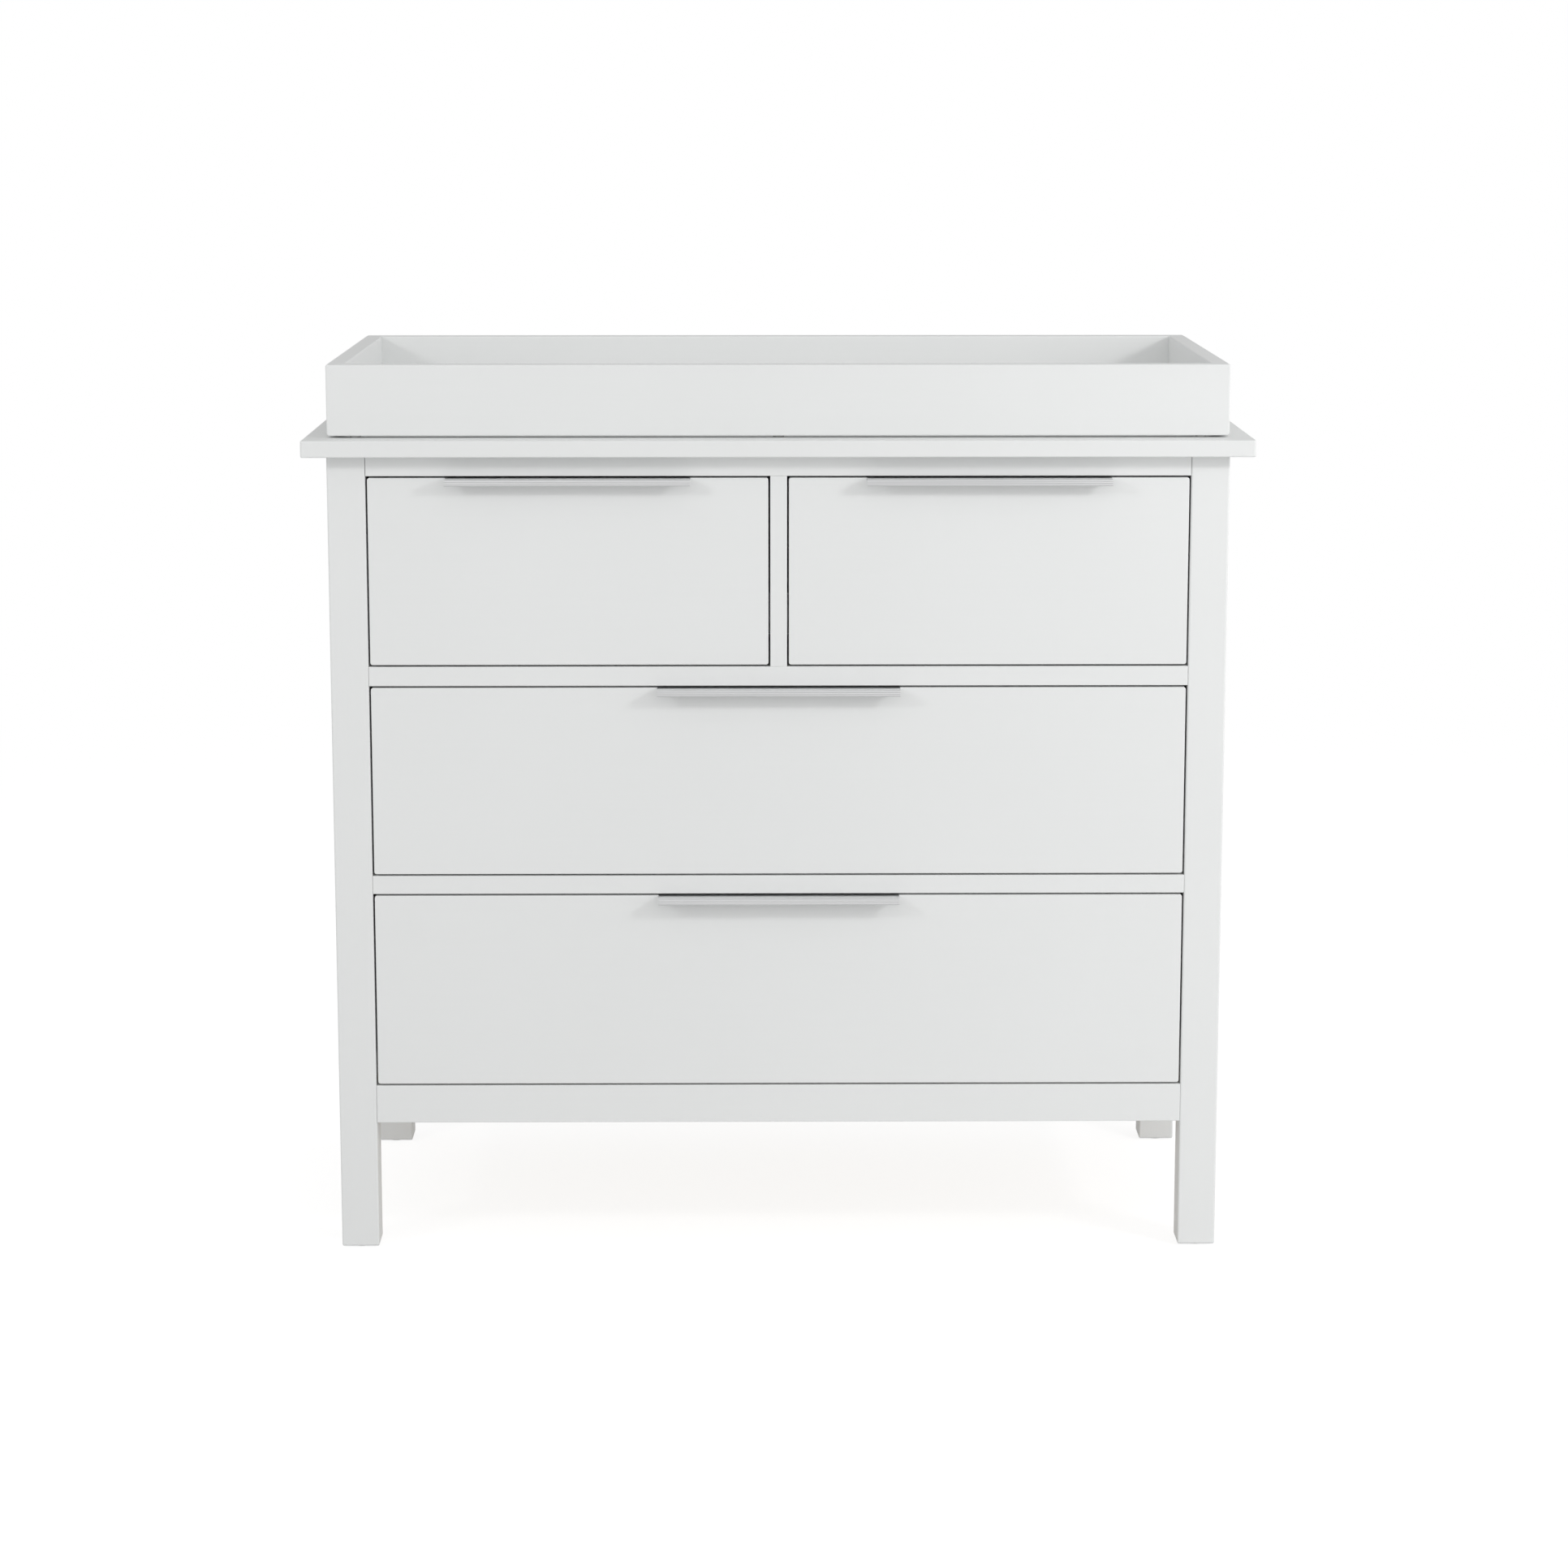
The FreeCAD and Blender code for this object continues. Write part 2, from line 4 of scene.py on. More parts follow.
import bpy
import numpy as np
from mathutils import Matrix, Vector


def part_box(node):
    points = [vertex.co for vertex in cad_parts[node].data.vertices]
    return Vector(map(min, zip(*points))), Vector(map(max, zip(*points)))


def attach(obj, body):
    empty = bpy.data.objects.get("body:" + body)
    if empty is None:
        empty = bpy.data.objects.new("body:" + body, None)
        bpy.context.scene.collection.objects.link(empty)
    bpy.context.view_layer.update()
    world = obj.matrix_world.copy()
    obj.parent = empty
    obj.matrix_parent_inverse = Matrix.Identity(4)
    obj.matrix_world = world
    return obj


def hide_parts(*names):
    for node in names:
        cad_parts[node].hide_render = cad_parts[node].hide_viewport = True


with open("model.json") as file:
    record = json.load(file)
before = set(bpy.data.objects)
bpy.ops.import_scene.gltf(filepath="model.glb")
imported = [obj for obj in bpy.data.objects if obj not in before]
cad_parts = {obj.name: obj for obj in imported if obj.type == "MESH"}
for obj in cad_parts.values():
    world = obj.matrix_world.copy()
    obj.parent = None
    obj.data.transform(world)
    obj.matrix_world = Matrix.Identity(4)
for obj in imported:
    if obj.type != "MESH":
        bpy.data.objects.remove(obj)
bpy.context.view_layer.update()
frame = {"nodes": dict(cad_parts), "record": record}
bodies = frame["record"]["behaviour"]["bodies"]
bodyOf = {node: body for body, members in bodies.items() for node in members}
drawerNames = ["upper_left_drawer", "upper_right_drawer", "middle_drawer", "lower_drawer"]
legNodes = ["front_left_leg", "front_right_leg", "rear_left_leg", "rear_right_leg"]
millimetre = 0.001
print("frame loaded:", len(frame["nodes"]), "nodes")


class Signal:
    # a node's output; arithmetic on it adds Math nodes to its tree
    def __init__(self, nodes, socket):
        self.nodes = nodes
        self.socket = socket

    def combine(self, operation, first, second):
        return self.nodes.make("ShaderNodeMath", {"operation": operation}, {0: first, 1: second})

    def __add__(self, other):
        return self.combine("ADD", self, other)

    def __sub__(self, other):
        return self.combine("SUBTRACT", self, other)

    def __mul__(self, other):
        return self.combine("MULTIPLY", self, other)

    def __rsub__(self, other):
        return self.combine("SUBTRACT", other, self)

    __radd__ = __add__
    __rmul__ = __mul__


class Nodes:
    # a node tree, and the one way in which nodes are added to it
    def __init__(self, tree):
        self.tree = tree

    def make(self, kind, settings=None, inputs=None, output=0):
        node = self.tree.nodes.new(kind)
        for key, value in (settings or {}).items():
            if key == "stops":
                elements = node.color_ramp.elements
                while len(elements) < len(value):
                    elements.new(0.5)
                for element, (position, colour) in zip(elements, value):
                    element.position = position
                    element.color = (*colour, 1)
            else:
                setattr(node, key, value)
        for key, value in (inputs or {}).items():
            if isinstance(value, Signal):
                self.link(value, node.inputs[key])
            else:
                node.inputs[key].default_value = value
        return Signal(self, node.outputs[output])

    def link(self, signal, socket):
        self.tree.links.new(signal.socket, socket)


class Look(Nodes):
    # one material: a Principled shader, its constants and the patterns that feed it
    fed = {"colour": "Base Color", "roughness": "Roughness", "normal": "Normal", "glow": "Emission Color"}

    def __init__(self, name, constants):
        self.material = bpy.data.materials.new(name)
        self.material.use_nodes = True
        super().__init__(self.material.node_tree)
        self.shader = self.tree.nodes["Principled BSDF"]
        for socket, value in constants.items():
            self.shader.inputs[socket].default_value = value
        self.place = self.make("ShaderNodeTexCoord", output="Object")

    def feed(self, **signals):
        for key, signal in signals.items():
            self.link(signal, self.shader.inputs[self.fed[key]])
        return self.material

    def stretched(self, axis, along, across):
        # object coordinates, scaled so that noise is drawn out along one axis
        scale = [across] * 3
        scale["xyz".index(axis)] = along
        return self.make("ShaderNodeMapping", {}, {"Vector": self.place, "Scale": scale})

    def noise(self, vector, scale, detail=2.0, roughness=0.5):
        inputs = {"Vector": vector, "Scale": scale, "Detail": detail, "Roughness": roughness}
        return self.make("ShaderNodeTexNoise", {}, inputs)

    def ramp(self, factor, stops):
        return self.make("ShaderNodeValToRGB", {"stops": stops}, {"Fac": factor})

    def bump(self, height, distance, strength=1.0):
        inputs = {"Height": height, "Distance": distance, "Strength": strength}
        return self.make("ShaderNodeBump", {}, inputs)


# In the finishes, sizes are waves per metre and depths are metres.
lacquer = {
    "light": (0.806, 0.816, 0.812),
    "dark": (0.792, 0.802, 0.798),
    "roughness": 0.46,
    "cloudRoughness": 0.08,    # how much the roughness drifts, and how much it follows the grain
    "grainRoughness": 0.06,
    "cloudSize": 2.6,
    "grainSize": (7.0, 420.0),    # the wood's pores under the paint, along and across the grain
    "grainDepth": 0.000020,
    "peelSize": 650.0,    # ripples of the sprayed lacquer
    "peelDepth": 0.000012,
}


def whiteLacquer(axis):
    look = Look("whiteLacquer" + axis.upper(), {"IOR": 1.46})
    cloud = look.noise(look.place, lacquer["cloudSize"], 3.0)
    grain = look.noise(look.stretched(axis, *lacquer["grainSize"]), 1.0, 3.0, 0.6)
    peel = look.noise(look.place, lacquer["peelSize"], 1.0)
    tone = cloud * 0.75 + grain * 0.25
    colour = look.ramp(tone, [(0.35, lacquer["dark"]), (0.65, lacquer["light"])])
    drift = lacquer["cloudRoughness"] * (cloud - 0.5) + lacquer["grainRoughness"] * (grain - 0.5)
    height = grain * lacquer["grainDepth"] + peel * lacquer["peelDepth"]
    return look.feed(colour=colour, roughness=lacquer["roughness"] + drift, normal=look.bump(height, 1.0))


birch = {"pale": (0.760, 0.640, 0.475), "tan": (0.610, 0.465, 0.305), "roughness": 0.42}
pine = {"pale": (0.78, 0.62, 0.40), "tan": (0.58, 0.39, 0.20), "roughness": 0.42}
woodGrain = {    # size along and across the grain
    "wander": (1.2, 9.0),
    "figure": (3.0, 75.0),
    "pores": (26.0, 1400.0),
    "poreDepth": 0.00005,
}


def clearWood(name, axis, wood):
    look = Look(name, {"IOR": 1.5})
    wander = look.noise(look.stretched(axis, *woodGrain["wander"]), 1.0, 2.0)
    figure = look.noise(look.stretched(axis, *woodGrain["figure"]), 1.0, 4.0, 0.55)
    pores = look.noise(look.stretched(axis, *woodGrain["pores"]), 1.0, 2.0)
    tone = figure * 0.55 + wander * 0.35 + pores * 0.10
    greyer = tuple(0.93 * channel for channel in wood["pale"])
    colour = look.ramp(tone, [(0.30, wood["tan"]), (0.50, wood["pale"]), (0.72, greyer)])
    roughness = wood["roughness"] + 0.16 * (pores - 0.5)
    normal = look.bump(pores, woodGrain["poreDepth"], 0.5)
    return look.feed(colour=colour, roughness=roughness, normal=normal)


ply = {"glueLine": (0.36, 0.24, 0.14), "layer": 0.0016, "roughness": 0.55}


def plyEdge(axis):
    # layers across the board's thickness, each a little different, with dark lines of glue
    look = Look("plyEdge" + axis.upper(), {"IOR": 1.5})
    across = look.make("ShaderNodeSeparateXYZ", {}, {0: look.place}, "xyz".index(axis))
    layer = look.make("ShaderNodeMath", {"operation": "PINGPONG"}, {0: across, 1: ply["layer"]})
    grain = look.noise(look.place, 900.0, 2.0)
    tone = layer * (1 / ply["layer"]) + 0.35 * (grain - 0.5)
    stops = [(0.04, ply["glueLine"]), (0.16, birch["tan"]), (0.5, birch["pale"]), (0.9, birch["tan"])]
    roughness = ply["roughness"] + 0.2 * (grain - 0.5)
    return look.feed(colour=look.ramp(tone, stops), roughness=roughness, normal=look.bump(grain, 0.0001, 0.4))


foil = {"light": (0.77, 0.77, 0.75), "dark": (0.70, 0.70, 0.68), "roughness": 0.5}


def foiledBoard():
    look = Look("foiledBoard", {"IOR": 1.45})
    fleck = look.noise(look.place, 320.0, 3.0)
    cloud = look.noise(look.place, 4.0, 2.0)
    tone = fleck * 0.4 + cloud * 0.6
    colour = look.ramp(tone, [(0.35, foil["dark"]), (0.65, foil["light"])])
    roughness = foil["roughness"] + 0.15 * (fleck - 0.5)
    return look.feed(colour=colour, roughness=roughness, normal=look.bump(fleck, 0.00004))


aluminium = {"light": (0.80, 0.805, 0.81), "dark": (0.68, 0.685, 0.69), "roughness": 0.30}


def satinAluminium():
    look = Look("satinAluminium", {"Metallic": 1.0})
    brushed = look.noise(look.stretched("x", 14.0, 5200.0), 1.0, 3.0, 0.6)
    streak = look.noise(look.stretched("x", 3.0, 600.0), 1.0, 2.0)
    tone = brushed * 0.5 + streak * 0.5
    colour = look.ramp(tone, [(0.3, aluminium["dark"]), (0.6, aluminium["light"])])
    roughness = aluminium["roughness"] + 0.16 * (brushed - 0.5)
    return look.feed(colour=colour, roughness=roughness, normal=look.bump(brushed, 0.00002, 0.35))


zinc = {"light": (0.64, 0.655, 0.67), "dark": (0.47, 0.48, 0.50), "roughness": 0.36}


def zincSteel():
    look = Look("zincSteel", {"Metallic": 1.0})
    spangle = look.noise(look.place, 180.0, 3.0, 0.6)
    rolled = look.noise(look.stretched("y", 6.0, 1500.0), 1.0, 2.0)
    tone = spangle * 0.6 + rolled * 0.4
    colour = look.ramp(tone, [(0.3, zinc["dark"]), (0.62, zinc["light"])])
    roughness = zinc["roughness"] + 0.2 * (spangle - 0.5)
    return look.feed(colour=colour, roughness=roughness, normal=look.bump(rolled, 0.00002, 0.4))


hardboard = {"light": (0.34, 0.22, 0.13), "dark": (0.25, 0.16, 0.09), "roughness": 0.8}
nylon = {"light": (0.76, 0.76, 0.73), "dark": (0.68, 0.68, 0.65), "roughness": 0.42}
rubber = {"light": (0.50, 0.50, 0.49), "dark": (0.42, 0.42, 0.41), "roughness": 0.75}


def flecked(name, stuff):
    look = Look(name, {"IOR": 1.5})
    fleck = look.noise(look.place, 500.0, 2.0)
    cloud = look.noise(look.place, 40.0, 2.0)
    colour = look.ramp(cloud, [(0.35, stuff["dark"]), (0.65, stuff["light"])])
    roughness = stuff["roughness"] + 0.2 * (fleck - 0.5)
    return look.feed(colour=colour, roughness=roughness, normal=look.bump(fleck, 0.00006))


looks = {
    "paintX": whiteLacquer("x"),
    "paintY": whiteLacquer("y"),
    "paintZ": whiteLacquer("z"),
    "birchX": clearWood("birchVeneerX", "x", birch),
    "birchY": clearWood("birchVeneerY", "y", birch),
    "pineX": clearWood("planedPineX", "x", pine),
    "pineY": clearWood("planedPineY", "y", pine),
    "hardboard": flecked("rawHardboard", hardboard),
    "plyX": plyEdge("x"),
    "plyY": plyEdge("y"),
    "foil": foiledBoard(),
    "aluminium": satinAluminium(),
    "steel": zincSteel(),
    "nylon": flecked("mouldedNylon", nylon),
    "rubber": flecked("softRubber", rubber),
}
print("finishes made:", len(looks))


guard = 0.25 * millimetre    # a narrow flat band beside each rounding keeps wide faces evenly shaded
smallestRadius = 0.02 * millimetre
planeAxes = {"x": (1, 2, 0), "y": (0, 2, 1), "z": (0, 1, 2)}    # an outline's across, up and along


def outlineRings(corners, radii, insets, steps, band):
    # A closed outline drawn in by each inset. A corner is a circular arc about the point that lies
    # one radius inside both of its edges: drawing in by d takes d from an outer corner's radius
    # and adds it to an inner one's. A corner with no radius stays one point.
    corners = np.asarray(corners, float)
    radii = np.broadcast_to(np.asarray(radii, float), len(corners))
    before = corners - np.roll(corners, 1, axis=0)
    before /= np.linalg.norm(before, axis=1, keepdims=True)
    after = np.roll(before, -1, axis=0)
    cross = before[:, 0] * after[:, 1] - before[:, 1] * after[:, 0]
    turn = np.arctan2(cross, (before * after).sum(1))
    inBefore = np.stack([-before[:, 1], before[:, 0]], axis=1)
    inAfter = np.stack([-after[:, 1], after[:, 0]], axis=1)
    mitre = (inBefore + inAfter) / (1 + (inBefore * inAfter).sum(1))[:, None]
    insets = np.asarray(insets, float)[:, None]
    side = np.where(turn < 0, -1, 1)[None]
    radius = np.where(radii > 0, side * np.maximum(radii - side * insets, smallestRadius), 0)
    centre = corners[None] + (insets + radius)[:, :, None] * mitre[None]
    sweep = np.linspace(0, 1, steps + 1)
    angle = np.arctan2(inBefore[:, 1], inBefore[:, 0])[:, None] + turn[:, None] * sweep
    rim = np.stack([np.cos(angle), np.sin(angle)], axis=2)
    parts = [centre[:, :, None] - radius[:, :, None, None] * rim[None]]
    if band:
        parts.insert(0, parts[0][:, :, :1] - band * before[None, :, None])
        parts.append(parts[1][:, :, -1:] + band * after[None, :, None])
    rings = np.concatenate(parts, axis=2)
    keep = np.ones(rings.shape[1:3], bool)
    keep[radii == 0] = False
    keep[radii == 0, rings.shape[2] // 2] = True
    return rings[:, keep]


def stack(rings, axis, flip=False):
    # Rings of points (across, up, along), joined row by row and closed by a flat cap at both ends.
    rows, count = rings.shape[:2]
    points = rings.reshape(-1, 3)[:, np.argsort(planeAxes[axis])]
    row = np.arange(rows - 1)[:, None] * count
    here = np.arange(count)[None]
    there = (here + 1) % count
    quads = np.stack([row + here, row + there, row + count + there, row + count + here], axis=2)
    quads = quads.reshape(-1, 4)
    caps = [np.arange(count)[::-1], np.arange(count) + (rows - 1) * count]
    if flip != (axis == "y"):
        quads = quads[:, ::-1]
        caps = [cap[::-1] for cap in caps]
    return points, [*quads.tolist(), *(cap.tolist() for cap in caps)]


def plate(corners, radii, low, high, ease, axis, steps=4, band=guard):
    # A board or bar: its outline's rings stand along an axis from low to high, and the rings at
    # each end follow a quarter circle whose radius is that end's ease.
    angle = np.linspace(0, math.pi / 2, 5)
    ends = []
    for radius in ease:
        inset = radius * (1 - np.sin(angle))
        depth = radius * (1 - np.cos(angle))
        if band:
            inset = np.concatenate([[radius + band], inset, [0]])
            depth = np.concatenate([[0], depth, [radius + band]])
        ends.append((inset, depth))
    insets = np.concatenate([ends[0][0], ends[1][0][::-1]])
    levels = np.concatenate([low + ends[0][1], high - ends[1][1][::-1]])
    rings = outlineRings(corners, radii, insets, steps, band)
    along = np.broadcast_to(levels[:, None, None], (*rings.shape[:2], 1))
    return stack(np.concatenate([rings, along], axis=2), axis)


def turned(profile, spots, axis, way=1, around=24):
    # Round parts: rows of (radius, height, lobe) turned about an axis through every spot. A lobe
    # draws the ring in between four arms, by lobe times the sine squared of twice the angle.
    profile = np.asarray(profile, float) * [millimetre, millimetre, 1]
    angle = np.linspace(0, 2 * math.pi, around, endpoint=False)
    radius = profile[:, :1] * (1 - profile[:, 2:] * np.sin(2 * angle) ** 2)
    level = np.broadcast_to(way * profile[:, 1:2], radius.shape)
    rings = np.stack([radius * np.cos(angle), radius * np.sin(angle), level], axis=2)
    points, faces = stack(rings, axis, way < 0)
    return [(points + np.asarray(spot, float), faces) for spot in spots]


def join(solids):
    # several closed solids as one list of points and faces
    points, faces, start = [], [], 0
    for solidPoints, solidFaces in solids:
        points.append(solidPoints)
        faces.extend([index + start for index in face] for face in solidFaces)
        start += len(solidPoints)
    return np.concatenate(points), faces


def addPiece(name, solids, lookNames, body, stands=(), edgeAxes=""):
    # A mesh from solids. With a second look, the faces that point along the edge axes get it.
    points, faces = join(solids)
    mesh = bpy.data.meshes.new(name)
    mesh.from_pydata(points.tolist(), [], faces)
    mesh.update()
    mesh.polygons.foreach_set("use_smooth", np.ones(len(faces), bool))
    for lookName in lookNames:
        mesh.materials.append(looks[lookName])
    if edgeAxes:
        normals = np.zeros(len(faces) * 3, np.float32)
        mesh.polygons.foreach_get("normal", normals)
        towards = np.abs(normals.reshape(-1, 3))[:, ["xyz".index(axis) for axis in edgeAxes]]
        isEdge = towards.max(axis=1) > 0.75
        mesh.polygons.foreach_set("material_index", isEdge.astype(np.int32))
    piece = bpy.data.objects.new(name, mesh)
    bpy.context.scene.collection.objects.link(piece)
    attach(piece, body)
    if stands:
        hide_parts(*stands)


def boxOf(node):
    low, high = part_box(node)
    return np.array(low, float), np.array(high, float)


def board(node, axis, corner, ease, shrink=(0, 0, 0)):
    # a plain board in the place of a CAD node; shrink takes a hairline off each side
    low, high = boxOf(node)
    low += np.multiply(shrink, millimetre)
    high -= np.multiply(shrink, millimetre)
    across, up, along = planeAxes[axis]
    outline = [
        (low[across], low[up]), (high[across], low[up]),
        (high[across], high[up]), (low[across], high[up]),
    ]
    radii = np.multiply(corner, millimetre)
    return plate(outline, radii, low[along], high[along], np.multiply(ease, millimetre), axis)


def bothEnds(ease):
    return np.full(2, ease * millimetre)


def facing(way, outline, radii):
    # an outline drawn for one side is mirrored for the other, so its points run the other way round
    radii = np.multiply(radii, millimetre)
    return (outline, radii) if way > 0 else (outline[::-1], radii[::-1])


def plainName(node):
    words = node.split("_")
    return words[0] + "".join(word.title() for word in words[1:])


# Each board: the axis that its outline stands along, its paint, the outline's corner radii, the
# ease at its low and high end, and the hairline left at its joints, in millimetres.
leg = ("z", "paintZ", 1.7, (2.2, 0.3), (0, 0, 0))
sidePanel = ("x", "paintZ", 0.4, (0.4, 0.4), (0, 0.05, 0))
trayLong = ("y", "paintX", (3.2, 3.2, 2.0, 2.0), (1.5, 1.5), (0, 0, 0))
trayEnd = ("x", "paintY", 0.4, (1.5, 1.5), (0, 0.05, 0))
boards = {
    "top_panel": ("z", "paintX", 2.0, (1.5, 1.5), (0, 0, 0)),
    **dict.fromkeys(legNodes, leg),
    "front_top_rail": ("y", "paintX", 0.4, (0.8, 0.3), (0.35, 0, 0)),
    "lower_divider_rail": ("y", "paintX", 0.8, (0.8, 0.3), (0.05, 0, 0)),
    "front_bottom_rail": ("y", "paintX", 0.8, (0.8, 0.5), (0.05, 0, 0)),
    "rear_bottom_rail": ("y", "paintX", 0.6, (0.5, 0.5), (0.05, 0, 0)),
    "upper_shelf": ("y", "paintX", 0.8, (0.8, 0.3), (0.05, 0, 0)),
    **dict.fromkeys(["left_side_panel", "right_side_panel"], sidePanel),
    **dict.fromkeys(["tray_front", "tray_back"], trayLong),
    **dict.fromkeys(["tray_left", "tray_right"], trayEnd),
}

for node, (axis, paint, corner, ease, shrink) in boards.items():
    solid = board(node, axis, corner, ease, shrink)
    addPiece(plainName(node), [solid], [paint], bodyOf[node], [node])


partition = {"corner": 0.4, "ease": 0.8}
backBoard = {"corner": 1.0, "ease": (0.4, 0.4)}


def partitionBoard():
    # the upright board between the upper drawers, stepped behind the top rail
    low, high = boxOf("centre_partition")
    railLow, railHigh = boxOf("front_top_rail")
    outline = [
        (low[1], low[2]), (high[1], low[2]), (high[1], high[2]), (railHigh[1], high[2]),
        (railHigh[1], railLow[2]), (low[1], railLow[2]),
    ]
    radius = partition["corner"] * millimetre
    return plate(outline, radius, low[0], high[0], bothEnds(partition["ease"]), "x")


addPiece("centrePartition", [partitionBoard()], ["paintZ"], "cabinet",
         ["centre_partition"])
addPiece("backPanel", [board("back_panel", "y", backBoard["corner"], backBoard["ease"])],
         ["foil", "hardboard"], "cabinet", ["back_panel"], "xz")
print("painted boards made")


# profiles of the turned parts: radius and height in millimetres, and how far a cross is cut in
panHead = [
    (4.0, 0.0, 0), (4.0, 0.5, 0), (3.86, 0.95, 0), (3.45, 1.35, 0), (2.8, 1.62, 0), (2.35, 1.72, 0),
    (2.2, 1.74, 0.50), (2.05, 1.62, 0.60), (1.75, 1.1, 0.64), (0.9, 0.55, 0.6), (0.2, 0.4, 0),
]
flatHead = [
    (3.6, 0.0, 0), (3.6, 0.25, 0), (3.45, 0.55, 0), (3.0, 0.7, 0), (2.2, 0.72, 0),
    (2.0, 0.72, 0.50), (1.8, 0.6, 0.62), (1.2, 0.3, 0.6), (0.2, 0.2, 0),
]
glide = [
    (0.4, 0.7, 0), (2.6, 0.8, 0), (3.9, 1.0, 0), (4.2, 1.2, 0), (7.0, 1.0, 0), (7.6, 0.2, 0),
    (8.0, 0.0, 0), (12.8, 0.0, 0), (13.6, 0.3, 0), (14.0, 0.8, 0), (14.0, 1.5, 0), (13.8, 1.8, 0),
    (13.2, 2.0, 0), (9.0, 2.0, 0),
]
padDisc = [(5.4, 0, 0), (5.8, 0.1, 0), (6.0, 0.4, 0), (6.0, 1.3, 0), (5.8, 1.6, 0), (5.4, 1.7, 0)]

# places in metres: insets from the edges of the board or strip, and steps between neighbours
backScrews = {"columnInset": 0.010, "rowInset": 0.012, "columnStep": 0.252, "rowStep": 0.110}
anchor = {"middle": 0.300, "screwReach": 0.021}
pads = {"sideInset": 0.030, "deepInset": 0.0095}

legMiddles = [(low + high) / 2 for low, high in map(boxOf, legNodes)]
footSpots = [(middle[0], middle[1], 0) for middle in legMiddles]
addPiece("footGlides", turned(glide, footSpots, "z"), ["nylon"], "cabinet", ["foot_glides"])

backLow, backHigh = boxOf("back_panel")
column = backHigh[0] - backScrews["columnInset"]
rowLevels = (backLow[2] + backScrews["rowInset"], backHigh[2] - backScrews["rowInset"])
middleLevel = (backLow[2] + backHigh[2]) / 2
backSpots = [
    (side * column, backHigh[1], middleLevel + step * backScrews["columnStep"])
    for side in (-1, 1) for step in (-1, 0, 1)
] + [
    (across * backScrews["rowStep"], backHigh[1], level) for across in (-3, -1, 1, 3) for level in rowLevels
]
addPiece("backPanelScrews", turned(panHead, backSpots, "y"), ["steel"], "cabinet",
         ["back_panel_screws"])

anchorLow, anchorHigh = boxOf("wall_anchors")
anchorLevel = (anchorLow[2] + anchorHigh[2]) / 2
anchorSpots = [
    (side * (anchor["middle"] + step * anchor["screwReach"]), anchorHigh[1], anchorLevel)
    for side in (-1, 1) for step in (-1, 1)
]
addPiece("anchorScrews", turned(panHead, anchorSpots, "y"), ["steel"], "cabinet")

padLevel = boxOf("tray_pads")[0][2]
trayLow, trayHigh = boxOf("tray_front")[0], boxOf("tray_back")[1]
padSpots = [
    (across * (trayHigh[0] - pads["sideInset"]), deep, padLevel) for across in (-1, 0, 1)
    for deep in (trayLow[1] + pads["deepInset"], trayHigh[1] - pads["deepInset"])
]
addPiece("trayPads", turned(padDisc, padSpots, "z"), ["rubber"], "tray", ["tray_pads"])
print("screws, feet and pads made")


bracket = {
    "long": 0.030,
    "thick": 0.002,
    "reach": 0.024,
    "middles": (-0.116, 0.144),
    "wallScrewRise": 0.014,
    "footScrewInset": 0.012,
    "radii": (0.4, 1.6, 0.4, 0.4, 0.5, 0.4),    # outer bend second, inner bend fifth, millimetres
    "ease": 0.15,
}


def trayBrackets():
    # an angle strip's outline, drawn out along the tray's end boards
    low, high = boxOf("tray_brackets")
    thick = bracket["thick"]
    solids = []
    for side in (-1, 1):
        wall, reach = side * high[0], side * (high[0] - bracket["reach"])
        inside = wall - side * thick
        outline = [
            (reach, low[2]), (wall, low[2]), (wall, high[2]), (inside, high[2]),
            (inside, low[2] + thick), (reach, low[2] + thick),
        ]
        outline, radii = facing(side, outline, bracket["radii"])
        for middle in bracket["middles"]:
            start, end = middle - bracket["long"] / 2, middle + bracket["long"] / 2
            solids.append(plate(outline, radii, start, end, bothEnds(bracket["ease"]), "y", band=0))
    return solids


def trayScrews():
    # one screw through each bracket's wall and one through its foot
    low, high = boxOf("tray_brackets")
    wallFace = high[0] - bracket["thick"]
    wallLevel, footLevel = low[2] + bracket["wallScrewRise"], low[2] + bracket["thick"]
    solids = []
    for side in (-1, 1):
        spots = [(side * wallFace, deep, wallLevel) for deep in bracket["middles"]]
        solids += turned(panHead, spots, "x", -side)
        footPlace = side * (wallFace - bracket["footScrewInset"])
        solids += turned(panHead, [(footPlace, deep, footLevel) for deep in bracket["middles"]], "z")
    return solids


addPiece("trayBrackets", trayBrackets(), ["steel"], "tray", ["tray_brackets"])
addPiece("trayScrews", trayScrews(), ["steel"], "tray", ["tray_screws"])
print("tray brackets made")


front = {"corner": 2.5, "ease": 0.8, "rebate": 2.0, "rebateCorner": 0.25}    # millimetres


def drawerFront(name):
    # the front's outline, with a shallow rebate in its top edge where the pull lies
    low, high = boxOf(name + "_front")
    pullLow, pullHigh = boxOf(name + "_pull")
    rebate = high[2] - front["rebate"] * millimetre
    outline = [
        (low[0], low[2]), (high[0], low[2]), (high[0], high[2]), (pullHigh[0], high[2]),
        (pullHigh[0], rebate), (pullLow[0], rebate), (pullLow[0], high[2]), (low[0], high[2]),
    ]
    corner, inner = front["corner"], front["rebateCorner"]
    radii = np.array([corner] * 3 + [inner] * 4 + [corner]) * millimetre
    return plate(outline, radii, low[1], high[1], bothEnds(front["ease"]), "y")


pull = {    # millimetres
    "thick": 2.0,
    "lip": 7.0,
    "lipSetBack": 0.3,    # the lip's foot behind its face
    "reeds": 3,
    "reedDepth": 0.26,
    "reedTop": 1.1,    # where the reeds start below the strip's top and end above the lip's foot
    "reedBottom": 0.35,
    "radii": (0.25, 0.5, 0.5, 0.5, 0.5, 0.5, 1.6, 0.8),    # from the lip's foot round to its brow
    "ease": 0.25,
}


